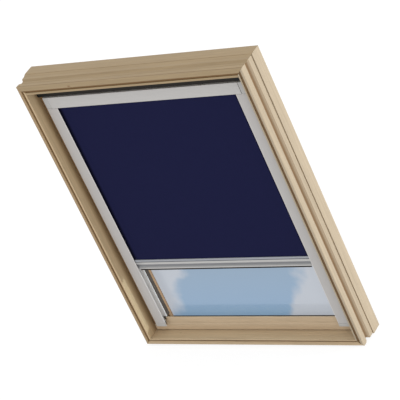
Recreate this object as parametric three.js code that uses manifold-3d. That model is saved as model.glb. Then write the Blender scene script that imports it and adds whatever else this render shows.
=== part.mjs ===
// Centre-pivot roof window in pine, seen from the room, with a framed roller blind in its sash.
// Millimetres. +Z runs up the slope, +X to the right seen from the room, and the room lies at -Y.
// The window stands on the outer face of its bottom member, at Z = 0.
import * as THREE from 'three';
import * as BufferGeometryUtils from 'three/addons/utils/BufferGeometryUtils.js';
import Module from 'manifold-3d';

const wasm = await Module();
wasm.setup();

// Driving dimensions. A depth is counted from the frame's room face towards the roof, and a set-in
// from the face that it is sunk into. The sash keeps its distance from the frame's back.

const frameWidth = 780;
const frameHeight = 980;
const frameDepth = 102;
const frameWall = 26;

// Clearances
const jointGap = 0.15;
const seatGap = 0.2;
const pinSeatGap = 0.1;
const runningGap = 0.5;
const cutOverrun = 3;

// Frame moulding
const beadSetIn = 4;
const beadDepth = 17.5;
const beadBackSetIn = 7;
const beadBackDepth = 23;
const beadWidth = 11;
const beadNose = 5;
const beadRollWidth = 3.5;
const beadRollDepth = 4.5;
const quirkWidth = 7;
const quirkDepth = 5.5;
const lipEdge = 1;
const lipDepth = 1.5;
const liningGrooveDepth = 10.5;
const liningGrooveStart = 24;
const liningGrooveEnd = 32;
const liningGrooveSlope = 10;
const liningFaceSetIn = 3;
const sawGroovePlace = 57.8;
const sawGrooveWidth = 2.5;
const sawGrooveDepth = 5.5;
const woodEase = 1.2;

// Sash
const sashGap = 4;
const sashFromBack = 58;
const stileWidth = 58;
const stileCheek = 15.5;
const stileStepSetIn = 17;
const topRailHeight = 37.5;
const bottomRailHeight = 21;

// Glazing
const paneSetIn = 32;
const paneThickness = 4;
const paneCavity = 12;
const paneLap = 11;
const paneEdgeGap = 2;
const spacerWidth = 8;
const spacerSetIn = 3;
const gasketThickness = 0.8;
const gasketSetIn = 1;
const gasketReach = 2.4;

// Outer metal covers
const coverSheet = 1.2;
const coverHeight = 6;
const frameCoverSetIn = 14;
const frameCoverEdge = 0.5;
const sashCoverSetIn = 1.5;
const sashCoverLap = 2;

// Weather gasket on the frame
const weatherGasketGap = 7;
const weatherGasketWidth = 5;
const weatherGasketReach = 2;

// Centre pivot
const pivotSetIn = 26;
const pivotPinRadius = 7;
const pivotPinInSash = 10;
const pivotPinInFrame = 9;
const hingePlateLength = 150;
const hingePlateWidth = 30;
const hingePlateThickness = 1.2;

// Ventilation bar
const ventBarHeight = 35;
const ventBarThickness = 7;
const ventBarPlace = 31.5;
const ventBarFront = 8.5;
const ventBarEndGap = 9;
const ventRodRadius = 1.5;
const ventRodGap = 0.3;
const ventCapThickness = 2;
const ventBracketWidth = 5;
const ventBracketHeight = 7;

// Blind: face plane, side rails and fabric
const blindFront = 11;
const blindSheet = 1.6;
const blindSideGap = 0.5;
const blindEase = 1;
const railDepth = 18;
const railWidth = 37;
const railLip = 2.4;
const ledgeReach = 4.6;
const fabricSetIn = 6.5;
const fabricThickness = 0.4;
const fabricInRail = 11;

// Cassette and roller
const cassetteHeight = 38;
const cassetteDepth = 34;
const cassetteCapWidth = 17;
const cassetteSlotLead = 2.2;
const cassetteSlotWidth = 9;
const rollerTubeRadius = 9;
const rollerTubeWall = 1.2;
const rollerEndGap = 3;
const woundThickness = 1.8;
const plugLength = 22;
const rollerPinRadius = 3;
const rollerPinLength = 9;
const springCartridgeLength = 210;
const springCartridgePlace = 130;

// Bottom bar, at the place it has in the photograph
const bottomBarPlace = 271;
const bottomBarHeight = 36;
const bottomBarFaceGap = 0.9;
const bottomBarBackGap = 0.7;
const bottomBarInRail = 9;
const clampStripHeight = 7.5;
const clampStripThickness = 2.6;
const gripPlace = 7;
const gripHeight = 12;
const gripDepth = 4.5;
const barBulge = 1.4;
const barSealHeight = 2.5;
const barSealThickness = 6;
const glideLength = 23;
const glideHeight = 20;
const glideSlotGap = 1.2;

// Rail fittings
const railPlugHeight = 6;
const railPlugSetIn = 11;
const railSealThickness = 2;
const railScrewRadius = 2.3;
const railScrewHead = 1;
const railScrewEndGap = 80;

// Places that follow from the sizes above

const totalDepth = frameDepth + coverHeight;
const roomY = -totalDepth / 2;
const midHeight = frameHeight / 2;
const halfWidth = frameWidth / 2;
const depthY = (depth) => roomY + depth;

const sashFace = frameDepth - sashFromBack;
const stileStep = sashFace + stileStepSetIn;
const paneFace = sashFace + paneSetIn;
const pivotDepth = sashFace + pivotSetIn;
const ventBarFace = sashFace - ventBarFront;
const blindFace = sashFace - blindFront;
const fabricPlane = blindFace + fabricSetIn;
const weatherGasketPlace = pivotDepth + hingePlateWidth / 2 + weatherGasketGap;

const frameInnerX = halfWidth - frameWall;
const sashOuter = frameWall + sashGap;
const sashHalfWidth = halfWidth - sashOuter;
const sashBottomZ = sashOuter;
const sashTopZ = frameHeight - sashOuter;
const openingBottomZ = sashBottomZ + bottomRailHeight;
const openingTopZ = sashTopZ - topRailHeight;
const cheekX = sashHalfWidth - stileCheek;
const glassX = sashHalfWidth - stileWidth;

const rebateDepth = paneFace - gasketThickness - seatGap;
const sashBack = paneFace + 2 * paneThickness + paneCavity;
const paneHalfWidth = glassX + paneLap;
const paneBottomZ = openingBottomZ - paneLap;
const paneTopZ = openingTopZ + paneLap;
const paneHeight = paneTopZ - paneBottomZ;
const paneMidZ = (paneTopZ + paneBottomZ) / 2;

const railOuterX = cheekX - blindSideGap;
const railInnerX = railOuterX - railWidth;
const ledgeX = railInnerX - ledgeReach;
const railBack = blindFace + railDepth;
const slotFace = blindFace + blindSheet;
const slotBack = railBack - blindSheet;
const webX = railOuterX - blindSheet;
const cassetteTopZ = openingTopZ - blindSideGap;
const cassetteBottomZ = cassetteTopZ - cassetteHeight;
const railBottomZ = openingBottomZ + blindSideGap;
const railTopZ = cassetteBottomZ - seatGap;

const woundRadius = rollerTubeRadius + seatGap + woundThickness;
const rollerY = depthY(fabricPlane + fabricThickness + seatGap + woundRadius);
const rollerZ = (cassetteTopZ + cassetteBottomZ) / 2;
const capInnerX = railOuterX - cassetteCapWidth;
const tubeHalfLength = capInnerX - rollerEndGap;

const barBottomZ = bottomBarPlace + barSealHeight;
const barTopZ = barBottomZ + bottomBarHeight;
const clampLedgeZ = barTopZ - clampStripHeight - seatGap;
const barHalfLength = railInnerX + bottomBarInRail;
const fabricHalfWidth = railInnerX + fabricInRail;

// Finishes

const finishes = {
  pine: { color: 0xd0b48c, roughness: 0.6, metalness: 0 },
  rubber: { color: 0x1e1e1e, roughness: 0.85, metalness: 0 },
  glass: { color: 0x99adc2, roughness: 0.05, metalness: 0 },
  cover: { color: 0x5b6064, roughness: 0.45, metalness: 0.7 },
  steel: { color: 0xa9abad, roughness: 0.35, metalness: 0.9 },
  darkBar: { color: 0x45443f, roughness: 0.5, metalness: 0.3 },
  blackPlastic: { color: 0x17171a, roughness: 0.6, metalness: 0 },
  aluminium: { color: 0xb4b2b0, roughness: 0.4, metalness: 0.5 },
  greyPlastic: { color: 0xb6b4b2, roughness: 0.5, metalness: 0 },
  fabric: { color: 0x1c1e3d, roughness: 0.9, metalness: 0 },
};

const group = new THREE.Group();

function addPiece(name, geometry, finish, place = [0, 0, 0], turnY = 0) {
  const mesh = new THREE.Mesh(geometry, new THREE.MeshStandardMaterial(finish));
  mesh.name = name;
  mesh.position.set(...place);
  mesh.rotation.y = turnY;
  group.add(mesh);
}

// Both sides of the window, for pieces that come in pairs
const sides = [['left', -1], ['right', 1]];

// Shape helpers

// Points on an ellipse's arc, in the outline's two directions
function arcPoints(cx, cy, rx, ry, fromDeg, toDeg, steps) {
  const points = [];
  for (let i = 0; i <= steps; i += 1) {
    const angle = THREE.MathUtils.degToRad(fromDeg + ((toDeg - fromDeg) * i) / steps);
    points.push([cx + rx * Math.cos(angle), cy + ry * Math.sin(angle)]);
  }
  return points;
}

const circlePoints = (cx, cy, radius, steps) => arcPoints(cx, cy, radius, radius, 0, 360, steps).slice(1);
const swapped = (outline) => outline.map(([a, b]) => [b, a]);
const toVectors = (outline) => outline.map(([a, b]) => new THREE.Vector2(a, b));

// Rectangle with its four corners cut off
function easedBox(a0, a1, b0, b1, ease) {
  return [
    [a0 + ease, b0], [a1 - ease, b0], [a1, b0 + ease], [a1, b1 - ease],
    [a1 - ease, b1], [a0 + ease, b1], [a0, b1 - ease], [a0, b0 + ease],
  ];
}

function extruded(outline, length, holes) {
  const shape = new THREE.Shape(toVectors(outline));
  shape.holes = holes.map((hole) => new THREE.Path(toVectors(hole)));
  return new THREE.ExtrudeGeometry(shape, { depth: length, bevelEnabled: false });
}

// Bar along X from x0 to x1: the outline is (depth, height)
function barAlongX(outline, x0, x1, holes = []) {
  const geometry = extruded(outline, x1 - x0, holes);
  geometry.applyMatrix4(new THREE.Matrix4().makeBasis(
    new THREE.Vector3(0, 1, 0),
    new THREE.Vector3(0, 0, 1),
    new THREE.Vector3(1, 0, 0),
  ));
  geometry.translate(x0, roomY, 0);
  return geometry;
}

// Bar along Z from z0 to z1: the outline is (x, depth), drawn for the right side of the window
function barAlongZ(outline, z0, z1, side = 1) {
  const geometry = extruded(outline.map(([x, depth]) => [side * x, depth]), z1 - z0, []);
  geometry.translate(0, roomY, z0);
  return geometry;
}

// The stretch from x0 to x1 on the right, or its mirror on the left
function pairedBarAlongX(side, outline, x0, x1, holes = []) {
  return side > 0 ? barAlongX(outline, x0, x1, holes) : barAlongX(outline, -x1, -x0, holes);
}

// Closed mesh from vertices and alike-wound triangles, turned right way out by its signed volume
function closedMesh(vertices, triangles) {
  let volume = 0;
  for (const [a, b, c] of triangles) {
    volume += vertices[a].clone().cross(vertices[b]).dot(vertices[c]);
  }
  const order = volume > 0 ? [0, 1, 2] : [0, 2, 1];
  const geometry = new THREE.BufferGeometry();
  const numbers = vertices.flatMap((vertex) => vertex.toArray());
  geometry.setAttribute('position', new THREE.Float32BufferAttribute(numbers, 3));
  geometry.setIndex(triangles.flatMap((triangle) => order.map((i) => triangle[i])));
  geometry.computeVertexNormals();
  return geometry;
}

// Triangles between two copies of an outline, whose first vertices are here and there
function wallTriangles(count, here, there) {
  const triangles = [];
  for (let i = 0; i < count; i += 1) {
    const next = (i + 1) % count;
    triangles.push([here + i, here + next, there + next], [here + i, there + next, there + i]);
  }
  return triangles;
}

// Triangles over an outline, wound as the outline is
function capTriangles(outline) {
  const flat = toVectors(outline);
  const whole = THREE.ShapeUtils.area(flat);
  return THREE.ShapeUtils.triangulateShape(flat, []).map(([a, b, c]) => {
    const alike = THREE.ShapeUtils.area([flat[a], flat[b], flat[c]]) * whole > 0;
    return alike ? [a, b, c] : [a, c, b];
  });
}

// Member with mitred ends: the outline is (inset from the outer face, depth). It lies along X,
// with its outer face at Z = 0 and its inner face above.
function mitredMember(outline, outerLength) {
  const count = outline.length;
  const vertices = [];
  for (const end of [-1, 1]) {
    for (const [inset, depth] of outline) {
      vertices.push(new THREE.Vector3(end * (outerLength / 2 - inset - jointGap), depth, inset));
    }
  }
  const caps = capTriangles(outline).flatMap(([a, b, c]) => [
    [a, c, b],
    [count + a, count + b, count + c],
  ]);
  return closedMesh(vertices, [...wallTriangles(count, 0, count), ...caps]);
}

// Ring round a rectangle in one piece: the outline is (inset from the rectangle's edge, depth)
function mitredRing(outline, width, height) {
  const count = outline.length;
  const corners = [[-1, -1], [1, -1], [1, 1], [-1, 1]];
  const vertices = corners.flatMap(([sideX, sideZ]) => outline.map(([inset, depth]) => (
    new THREE.Vector3(sideX * (width / 2 - inset), depth, sideZ * (height / 2 - inset))
  )));
  const triangles = corners.flatMap((corner, i) => (
    wallTriangles(count, i * count, ((i + 1) % corners.length) * count)
  ));
  return closedMesh(vertices, triangles);
}

// Solid of revolution about X: the profile is (radius, x)
function turnedAboutX(profile, steps) {
  const geometry = new THREE.LatheGeometry(toVectors(profile), steps);
  geometry.rotateZ(-Math.PI / 2);
  return geometry;
}

function tubeAboutX(outer, inner, length, steps) {
  const ring = [
    [inner, -length / 2], [outer, -length / 2], [outer, length / 2], [inner, length / 2],
    [inner, -length / 2],
  ];
  return turnedAboutX(ring, steps);
}

function rodAboutX(radius, length, steps) {
  const geometry = new THREE.CylinderGeometry(radius, radius, length, steps);
  geometry.rotateZ(Math.PI / 2);
  return geometry;
}

function toSolid(geometry) {
  const bare = geometry.clone();
  bare.deleteAttribute('normal');
  bare.deleteAttribute('uv');
  const merged = BufferGeometryUtils.mergeVertices(bare);
  return new wasm.Manifold(new wasm.Mesh({
    numProp: 3,
    vertProperties: new Float32Array(merged.attributes.position.array),
    triVerts: new Uint32Array(merged.index.array),
  }));
}

function bored(geometry, bore) {
  const mesh = toSolid(geometry).subtract(toSolid(bore)).getMesh();
  const result = new THREE.BufferGeometry();
  result.setAttribute('position', new THREE.BufferAttribute(mesh.vertProperties, 3));
  result.setIndex(new THREE.BufferAttribute(mesh.triVerts, 1));
  result.computeVertexNormals();
  return result;
}

// Thin sheet bent to an open channel over a member's outer face, across from inner to outer
function channelOutline(inner, outer, face) {
  const sheet = Math.sign(outer - inner) * coverSheet;
  const mouth = face + seatGap;
  const top = face + coverHeight;
  return [
    [outer, mouth],
    [outer, top],
    [inner, top],
    [inner, mouth],
    [inner + sheet, mouth],
    [inner + sheet, top - coverSheet],
    [outer - sheet, top - coverSheet],
    [outer - sheet, mouth],
  ];
}

// Frame: four mitred members, each with the pivot's bore in the side ones

function frameOutline() {
  const rollEdge = beadWidth + beadRollWidth;
  const lipOuter = rollEdge + quirkWidth;
  const noseCentre = beadSetIn + beadNose;
  return [
    [frameWall, frameDepth],
    [woodEase, frameDepth],
    [0, frameDepth - woodEase],
    [0, sawGroovePlace + sawGrooveWidth],
    [sawGrooveDepth, sawGroovePlace + sawGrooveWidth],
    [sawGrooveDepth, sawGroovePlace],
    [liningFaceSetIn, sawGroovePlace],
    [liningFaceSetIn, liningGrooveEnd + liningGrooveSlope],
    [liningGrooveDepth, liningGrooveEnd],
    [liningGrooveDepth, liningGrooveStart],
    [beadBackSetIn, beadBackDepth],
    [beadSetIn, beadDepth],
    ...arcPoints(noseCentre, beadNose, beadNose, beadNose, 180, 270, 6),
    ...arcPoints(beadWidth, beadRollDepth, beadRollWidth, beadRollDepth, -90, 0, 6),
    [rollEdge, quirkDepth],
    [lipOuter, quirkDepth],
    [lipOuter, lipDepth],
    [frameWall - lipEdge, lipDepth],
    [frameWall, lipDepth + lipEdge],
  ];
}

addPiece('frame_bottom_member', mitredMember(frameOutline(), frameWidth), finishes.pine,
  [0, roomY, 0]);
addPiece('frame_top_member', mitredMember(frameOutline(), frameWidth), finishes.pine,
  [0, roomY, frameHeight], Math.PI);

for (const [name, side] of sides) {
  const boreRadius = pivotPinRadius + runningGap;
  const boreReach = pivotPinInFrame + runningGap;
  const bore = new THREE.CylinderGeometry(boreRadius, boreRadius, 2 * boreReach, 32);
  bore.rotateX(Math.PI / 2);
  bore.translate(0, pivotDepth, frameWall);
  const member = bored(mitredMember(frameOutline(), frameHeight), bore);
  addPiece(`frame_${name}_member`, member, finishes.pine,
    [side * halfWidth, roomY, midHeight], (-side * Math.PI) / 2);
}

// Weather gasket: a rubber lip round the frame's inner face

{
  const reach = weatherGasketReach;
  const half = weatherGasketWidth / 2;
  const middle = weatherGasketPlace + half;
  const lip = [[0, middle + half], [0, middle - half], ...arcPoints(0, middle, reach, half, -60, 60, 4)];
  const gasket = mitredRing(lip, 2 * (frameInnerX - seatGap), frameHeight - 2 * (frameWall + seatGap));
  addPiece('frame_weather_gasket', gasket, finishes.rubber, [0, roomY, midHeight]);
}

// Metal covers over the frame's outer face

{
  const channel = channelOutline(frameWall - frameCoverEdge, frameCoverSetIn, frameDepth);
  addPiece('frame_cover_bottom', mitredMember(channel, frameWidth), finishes.cover, [0, roomY, 0]);
  addPiece('frame_cover_top', mitredMember(channel, frameWidth), finishes.cover,
    [0, roomY, frameHeight], Math.PI);
  for (const [name, side] of sides) {
    addPiece(`frame_cover_${name}`, mitredMember(channel, frameHeight), finishes.cover,
      [side * halfWidth, roomY, midHeight], (-side * Math.PI) / 2);
  }
}

// Sash: rails across the full width, and stepped stiles between them with a pocket for the cassette

{
  const topRail = [
    [sashFace + woodEase, openingTopZ],
    [rebateDepth, openingTopZ],
    [rebateDepth, paneTopZ + paneEdgeGap],
    [sashBack, paneTopZ + paneEdgeGap],
    [sashBack, sashTopZ],
    [sashFace + woodEase, sashTopZ],
    [sashFace, sashTopZ - woodEase],
    [sashFace, openingTopZ + woodEase],
  ];
  const bottomRail = [
    [sashFace + woodEase, sashBottomZ],
    [sashBack, sashBottomZ],
    [sashBack, paneBottomZ - paneEdgeGap],
    [rebateDepth, paneBottomZ - paneEdgeGap],
    [rebateDepth, openingBottomZ],
    [sashFace + woodEase, openingBottomZ],
    [sashFace, openingBottomZ - woodEase],
    [sashFace, sashBottomZ + woodEase],
  ];
  addPiece('sash_top_rail', barAlongX(topRail, -sashHalfWidth, sashHalfWidth), finishes.pine);
  addPiece('sash_bottom_rail', barAlongX(bottomRail, -sashHalfWidth, sashHalfWidth), finishes.pine);

  const stile = [
    [sashHalfWidth, sashFace + woodEase],
    [sashHalfWidth, sashBack],
    [paneHalfWidth + paneEdgeGap, sashBack],
    [paneHalfWidth + paneEdgeGap, rebateDepth],
    [glassX, rebateDepth],
    [glassX, stileStep],
    [cheekX, stileStep],
    [cheekX, sashFace + woodEase],
    [cheekX + woodEase, sashFace],
    [sashHalfWidth - woodEase, sashFace],
  ];
  const pocketBack = blindFace + cassetteDepth + runningGap;
  const pocket = [
    [glassX - cutOverrun, stileStep - cutOverrun],
    [cheekX, stileStep - cutOverrun],
    [cheekX, pocketBack],
    [glassX - cutOverrun, pocketBack],
  ];
  for (const [name, side] of sides) {
    const bore = rodAboutX(pivotPinRadius + pinSeatGap, 2 * (pivotPinInSash + pinSeatGap), 32);
    bore.translate(side * sashHalfWidth, depthY(pivotDepth), midHeight);
    const bar = barAlongZ(stile, openingBottomZ + jointGap, openingTopZ - jointGap, side);
    const cut = barAlongZ(pocket, cassetteBottomZ - runningGap, openingTopZ + cutOverrun, side);
    addPiece(`sash_${name}_stile`, bored(bored(bar, bore), cut), finishes.pine);
  }
}

// Glazing: two panes on a spacer, and the gasket between them and the sash

{
  const addPane = (name, depth) => {
    const pane = new THREE.BoxGeometry(2 * paneHalfWidth, paneThickness, paneHeight);
    addPiece(name, pane, finishes.glass, [0, depthY(depth + paneThickness / 2), paneMidZ]);
  };
  addPane('inner_pane', paneFace);
  addPane('outer_pane', paneFace + paneThickness + paneCavity);

  const spacerFront = paneFace + paneThickness + pinSeatGap;
  const spacerBack = paneFace + paneThickness + paneCavity - pinSeatGap;
  const spacer = [[0, spacerFront], [spacerWidth, spacerFront], [spacerWidth, spacerBack], [0, spacerBack]];
  addPiece('pane_spacer',
    mitredRing(spacer, 2 * (paneHalfWidth - spacerSetIn), paneHeight - 2 * spacerSetIn),
    finishes.steel, [0, roomY, paneMidZ]);

  const gasketInset = paneLap - gasketSetIn + gasketReach;
  const gasketBack = paneFace - pinSeatGap;
  const gasketFront = gasketBack - gasketThickness;
  const gasket = [[0, gasketFront], [gasketInset, gasketFront], [gasketInset, gasketBack], [0, gasketBack]];
  addPiece('glazing_gasket',
    mitredRing(gasket, 2 * (paneHalfWidth - gasketSetIn), paneHeight - 2 * gasketSetIn),
    finishes.rubber, [0, roomY, paneMidZ]);
}

// Metal covers over the sash's outer face

{
  const coverHalf = sashHalfWidth - sashCoverSetIn;
  const bottomInnerZ = openingBottomZ + sashCoverLap;
  const topInnerZ = openingTopZ - sashCoverLap;
  const bottomCover = channelOutline(bottomInnerZ, sashBottomZ + sashCoverSetIn, sashBack);
  const topCover = channelOutline(topInnerZ, sashTopZ - sashCoverSetIn, sashBack);
  const sideCover = channelOutline(glassX - sashCoverLap, coverHalf, sashBack);
  addPiece('sash_cover_bottom', barAlongX(swapped(bottomCover), -coverHalf, coverHalf), finishes.cover);
  addPiece('sash_cover_top', barAlongX(swapped(topCover), -coverHalf, coverHalf), finishes.cover);
  for (const [name, side] of sides) {
    const cover = barAlongZ(sideCover, bottomInnerZ + seatGap, topInnerZ - seatGap, side);
    addPiece(`sash_cover_${name}`, cover, finishes.cover);
  }
}

// Centre pivots: a plate on the frame, and a plate and a pin on the sash

{
  const endRadius = hingePlateWidth / 2;
  const endZ = hingePlateLength / 2 - endRadius;
  const plate = [
    ...arcPoints(pivotDepth, midHeight + endZ, endRadius, endRadius, 0, 180, 10),
    ...arcPoints(pivotDepth, midHeight - endZ, endRadius, endRadius, 180, 360, 10),
  ];
  const framePlateX = frameInnerX - pinSeatGap - hingePlateThickness;
  const sashPlateX = sashHalfWidth + pinSeatGap;
  const pinStart = sashHalfWidth - pivotPinInSash;
  const pinLength = frameInnerX + pivotPinInFrame - pinStart;
  for (const [name, side] of sides) {
    const frameHole = circlePoints(pivotDepth, midHeight, pivotPinRadius + runningGap, 32);
    const sashHole = circlePoints(pivotDepth, midHeight, pivotPinRadius + pinSeatGap, 32);
    addPiece(`frame_hinge_plate_${name}`,
      pairedBarAlongX(side, plate, framePlateX, framePlateX + hingePlateThickness, [frameHole]),
      finishes.steel);
    addPiece(`sash_hinge_plate_${name}`,
      pairedBarAlongX(side, plate, sashPlateX, sashPlateX + hingePlateThickness, [sashHole]),
      finishes.steel);
    addPiece(`pivot_pin_${name}`, rodAboutX(pivotPinRadius, pinLength, 32), finishes.steel,
      [side * (pinStart + pinLength / 2), depthY(pivotDepth), midHeight]);
  }
}

// Ventilation bar: it tips towards the room on a rod held by two brackets on the sash

{
  const radius = ventBarThickness / 2;
  const middle = ventBarFace + radius;
  const topZ = frameHeight - ventBarPlace - radius;
  const hingeZ = topZ - ventBarHeight + ventBarThickness;
  const outline = [
    ...arcPoints(middle, topZ, radius, radius, 0, 180, 8),
    ...arcPoints(middle, hingeZ, radius, radius, 180, 360, 8),
  ];
  const rodHole = circlePoints(middle, hingeZ, ventRodRadius + ventRodGap, 16);
  const rodSeat = circlePoints(middle, hingeZ, ventRodRadius + pinSeatGap, 16);
  const barHalf = sashHalfWidth - ventBarEndGap;
  const capStart = barHalf + pinSeatGap;
  const capEnd = capStart + ventCapThickness;
  const bracketStart = capEnd + runningGap;
  const bracketEnd = bracketStart + ventBracketWidth;
  const bracket = easedBox(
    middle - radius,
    sashFace - pinSeatGap,
    hingeZ - radius,
    hingeZ - radius + ventBracketHeight,
    woodEase,
  );
  addPiece('vent_bar', barAlongX(outline, -barHalf, barHalf, [rodHole]), finishes.darkBar);
  addPiece('vent_bar_rod', rodAboutX(ventRodRadius, 2 * bracketEnd, 16), finishes.steel,
    [0, depthY(middle), hingeZ]);
  for (const [name, side] of sides) {
    addPiece(`vent_bar_cap_${name}`, pairedBarAlongX(side, outline, capStart, capEnd, [rodHole]),
      finishes.blackPlastic);
    addPiece(`vent_bar_bracket_${name}`,
      pairedBarAlongX(side, bracket, bracketStart, bracketEnd, [rodSeat]), finishes.blackPlastic);
  }
}

// Blind cassette: front cover, back shell, and end caps that carry the roller's pins

{
  const slotStart = fabricPlane - cassetteSlotLead;
  const slotEnd = slotStart + cassetteSlotWidth;
  const cassetteBack = blindFace + cassetteDepth;
  const fascia = [
    [blindFace, cassetteBottomZ + blindEase],
    [blindFace + blindEase, cassetteBottomZ],
    [slotStart, cassetteBottomZ],
    [slotStart, cassetteBottomZ + blindSheet],
    [slotFace, cassetteBottomZ + blindSheet],
    [slotFace, cassetteTopZ],
    [blindFace + blindEase, cassetteTopZ],
    [blindFace, cassetteTopZ - blindEase],
  ];
  const shell = [
    [slotFace + seatGap, cassetteTopZ - blindSheet],
    [cassetteBack - blindSheet, cassetteTopZ - blindSheet],
    [cassetteBack - blindSheet, cassetteBottomZ + blindSheet],
    [slotEnd, cassetteBottomZ + blindSheet],
    [slotEnd, cassetteBottomZ],
    [cassetteBack, cassetteBottomZ],
    [cassetteBack, cassetteTopZ],
    [slotFace + seatGap, cassetteTopZ],
  ];
  addPiece('cassette_front', barAlongX(fascia, -capInnerX, capInnerX), finishes.aluminium);
  addPiece('cassette_shell', barAlongX(shell, -capInnerX, capInnerX), finishes.aluminium);

  const cap = easedBox(blindFace, cassetteBack, cassetteBottomZ, cassetteTopZ, blindEase);
  for (const [name, side] of sides) {
    const block = pairedBarAlongX(side, cap, capInnerX + seatGap, railOuterX);
    const bore = rodAboutX(rollerPinRadius + ventRodGap, 2 * (rollerPinLength + runningGap), 24);
    bore.translate(side * capInnerX, rollerY, rollerZ);
    addPiece(`cassette_cap_${name}`, bored(block, bore), finishes.greyPlastic);
  }
}

// Roller: tube, fabric wound on it, end plugs with pins, and the spring cartridge inside

{
  const tubeBore = rollerTubeRadius - rollerTubeWall;
  const plugRadius = tubeBore - pinSeatGap;
  const plugEnd = plugLength + rollerEndGap + rollerPinLength;
  const axis = [0, rollerY, rollerZ];
  addPiece('roller_tube', tubeAboutX(rollerTubeRadius, tubeBore, 2 * tubeHalfLength, 32),
    finishes.aluminium, axis);
  addPiece('wound_fabric', tubeAboutX(woundRadius, rollerTubeRadius + seatGap, 2 * fabricHalfWidth, 40),
    finishes.fabric, axis);
  const plug = [
    [0, 0],
    [plugRadius, 0],
    [plugRadius, plugLength],
    [rollerPinRadius, plugLength],
    [rollerPinRadius, plugEnd],
    [0, plugEnd],
  ];
  for (const [name, side] of sides) {
    const turned = turnedAboutX(plug, 24);
    turned.rotateZ(side > 0 ? 0 : Math.PI);
    turned.translate(side * (tubeHalfLength - plugLength), rollerY, rollerZ);
    addPiece(`roller_plug_${name}`, turned, finishes.blackPlastic);
  }
  addPiece('spring_cartridge', rodAboutX(plugRadius, springCartridgeLength, 24), finishes.steel,
    [springCartridgePlace, rollerY, rollerZ]);
}

// Side rails: flat front flange, open slot, and an inner ledge with a small lip

{
  const rail = [
    [railOuterX, blindFace + blindEase],
    [railOuterX, railBack],
    [ledgeX, railBack],
    [ledgeX, slotBack - railLip],
    [ledgeX + blindSheet, slotBack - railLip],
    [ledgeX + blindSheet, slotBack],
    [webX, slotBack],
    [webX, slotFace],
    [railInnerX, slotFace],
    [railInnerX, blindFace + blindEase],
    [railInnerX + blindEase, blindFace],
    [railOuterX - blindEase, blindFace],
  ];
  const sealBack = stileStep - seatGap;
  const seal = [
    [ledgeX, railBack + seatGap],
    [ledgeX + railSealThickness, railBack + seatGap],
    [ledgeX + railSealThickness, sealBack],
    [ledgeX, sealBack],
  ];
  const plug = easedBox(railInnerX + railPlugSetIn, webX - seatGap, slotFace + seatGap, slotBack - seatGap,
    woodEase);
  for (const [name, side] of sides) {
    addPiece(`side_rail_${name}`, barAlongZ(rail, railBottomZ, railTopZ, side), finishes.aluminium);
    addPiece(`rail_seal_${name}`, barAlongZ(seal, railBottomZ, railTopZ, side), finishes.rubber);
    addPiece(`rail_plug_${name}`, barAlongZ(plug, railBottomZ, railBottomZ + railPlugHeight, side),
      finishes.blackPlastic);
  }

  const headX = webX - pinSeatGap - railScrewHead / 2;
  const headY = depthY((sashFace + slotBack) / 2);
  const midRailZ = (railBottomZ + railTopZ) / 2;
  const rise = (railTopZ - railBottomZ) / 2 - railScrewEndGap;
  const levels = [['lower', -rise], ['middle', 0], ['upper', rise]];
  for (const [name, side] of sides) {
    for (const [level, height] of levels) {
      addPiece(`rail_screw_${name}_${level}`, rodAboutX(railScrewRadius, railScrewHead, 16),
        finishes.steel, [side * headX, headY, midRailZ + height]);
    }
  }
}

// Bottom bar: grooved grip profile, clamp strip on the fabric, lower seal and end glides

{
  const face = slotFace + bottomBarFaceGap;
  const back = slotBack - railLip - bottomBarBackGap;
  const edge = face + barBulge;
  const gripBottomZ = barBottomZ + gripPlace;
  const gripTopZ = gripBottomZ + gripHeight;
  const gripMidZ = (gripBottomZ + gripTopZ) / 2;
  const upperMidZ = (clampLedgeZ + gripTopZ) / 2;
  const lowerMidZ = (barBottomZ + gripBottomZ) / 2;
  const upstand = fabricPlane + fabricThickness + seatGap;
  const profile = [
    [back, barBottomZ],
    [back, barTopZ],
    [upstand, barTopZ],
    [upstand, clampLedgeZ],
    ...arcPoints(edge, upperMidZ, barBulge, (clampLedgeZ - gripTopZ) / 2, 90, 270, 8),
    ...arcPoints(edge, gripMidZ, gripDepth, gripHeight / 2, 90, -90, 8).slice(1),
    ...arcPoints(edge, lowerMidZ, barBulge, gripPlace / 2, 90, 270, 8).slice(1),
  ];
  addPiece('bottom_bar', barAlongX(profile, -barHalfLength, barHalfLength), finishes.aluminium);

  const stripBack = fabricPlane - seatGap;
  const strip = easedBox(stripBack - clampStripThickness, stripBack, clampLedgeZ + seatGap, barTopZ,
    barBulge / 2);
  addPiece('bar_clamp_strip', barAlongX(strip, -barHalfLength, barHalfLength), finishes.aluminium);

  const sealMiddle = (edge + back) / 2;
  const seal = [
    [sealMiddle - barSealThickness / 2, bottomBarPlace],
    [sealMiddle + barSealThickness / 2, bottomBarPlace],
    [sealMiddle + barSealThickness / 2, barBottomZ - pinSeatGap],
    [sealMiddle - barSealThickness / 2, barBottomZ - pinSeatGap],
  ];
  addPiece('bar_seal', barAlongX(seal, -barHalfLength, barHalfLength), finishes.rubber);

  const glideMidZ = (barBottomZ + barTopZ) / 2;
  const glide = easedBox(
    slotFace + glideSlotGap,
    slotBack - glideSlotGap,
    glideMidZ - glideHeight / 2,
    glideMidZ + glideHeight / 2,
    woodEase,
  );
  for (const [name, side] of sides) {
    const glideStart = barHalfLength + pinSeatGap;
    addPiece(`bar_glide_${name}`,
      pairedBarAlongX(side, glide, glideStart, glideStart + glideLength), finishes.blackPlastic);
  }
}

// Blackout fabric, from the roller's room side down into the bottom bar

{
  const bottomZ = clampLedgeZ + seatGap;
  const sheet = new THREE.BoxGeometry(2 * fabricHalfWidth, fabricThickness, rollerZ - bottomZ);
  addPiece('blind_fabric', sheet, finishes.fabric,
    [0, depthY(fabricPlane + fabricThickness / 2), (rollerZ + bottomZ) / 2]);
}

export default group;
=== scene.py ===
from math import pi, radians

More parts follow.
